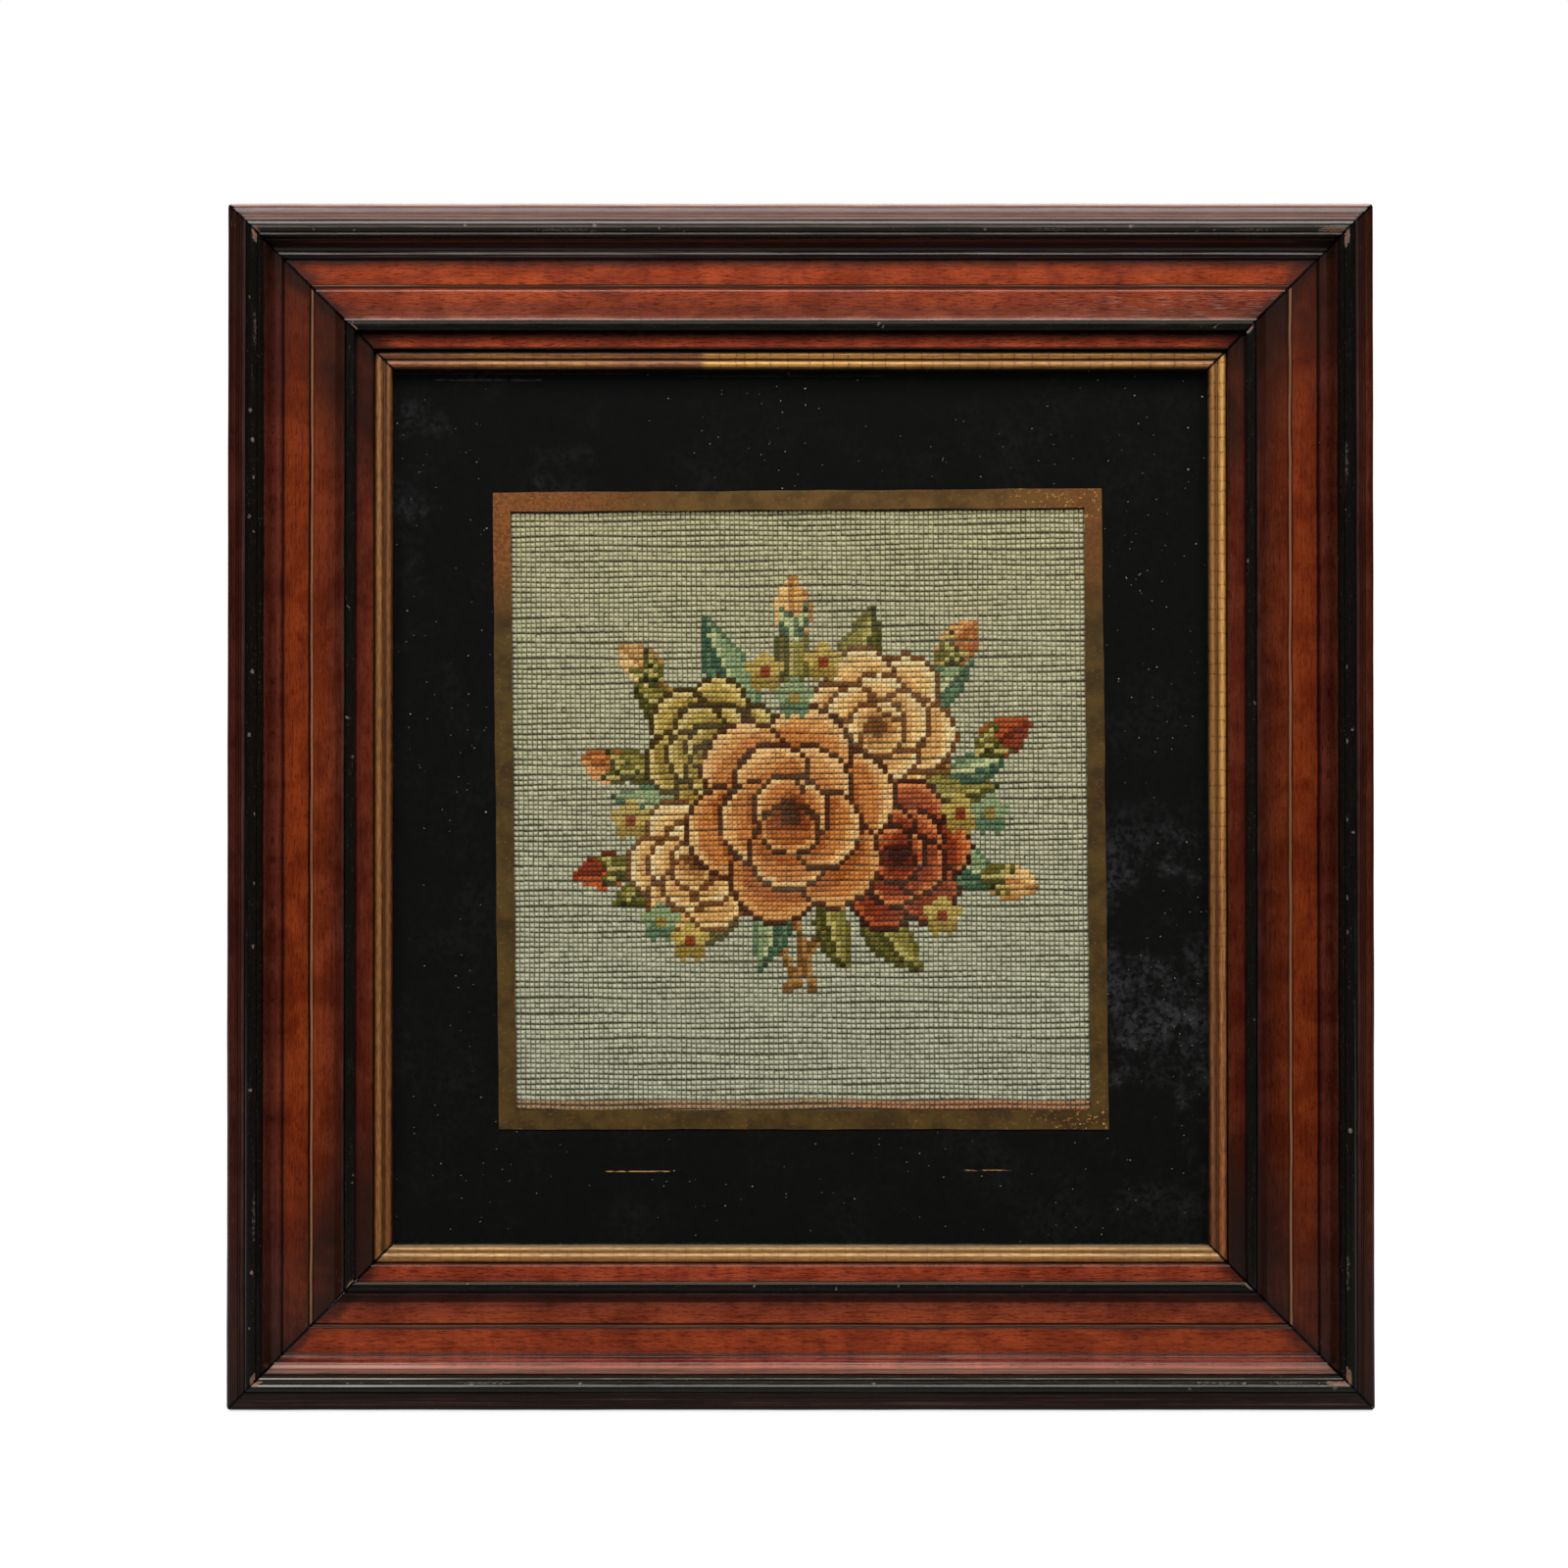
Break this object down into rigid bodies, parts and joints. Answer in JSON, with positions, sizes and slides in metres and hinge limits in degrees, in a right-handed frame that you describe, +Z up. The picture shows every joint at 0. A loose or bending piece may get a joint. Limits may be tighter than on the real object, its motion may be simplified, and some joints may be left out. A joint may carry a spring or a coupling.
{
  "type": "framed needlepoint picture",
  "caption": "Square wool needlepoint behind black painted glass with a gold line, in a deep mitred mahogany frame with ebonised beads and a gilt slip.",
  "frame": {"origin": "centre of the frame's box, at its lower edge", "axes": "+X to the right across the picture as it is seen, +Y from the picture towards the wall behind it, +Z up"},
  "size_m": [0.42, 0.038, 0.442],
  "materials": {
    "mahogany": "mahogany veneer, satin varnish, darkened in the hollows and towards the mitres",
    "ebonised": "black ebonised wood, polished, with nicks and scuffs",
    "gilt": "worn water gilding over gesso, with fine cross cracks",
    "glass": "clear old picture glass",
    "gold_foil": "tarnished gold line on the back of the glass",
    "black_paint": "black paint on the back of the glass, a little hazed and specked",
    "wool": "Berlin wool in small square stitches on canvas",
    "board": "plain softwood board, unfinished"
  },
  "bodies": {
    "root": {"rail_bottom": "mahogany", "outer_bead_bottom": "ebonised", "inner_bead_bottom": "ebonised", "gilt_slip_bottom": "gilt", "rail_left": "mahogany", "outer_bead_left": "ebonised", "inner_bead_left": "ebonised", "gilt_slip_left": "gilt", "rail_top": "mahogany", "outer_bead_top": "ebonised", "inner_bead_top": "ebonised", "gilt_slip_top": "gilt", "rail_right": "mahogany", "outer_bead_right": "ebonised", "inner_bead_right": "ebonised", "gilt_slip_right": "gilt", "glass": "glass", "gold_border_left": "gold_foil", "gold_border_right": "gold_foil", "gold_border_bottom": "gold_foil", "gold_border_top": "gold_foil", "painted_ground": "black_paint", "needlepoint": "wool", "backboard": "board"}
  },
  "joints": []
}
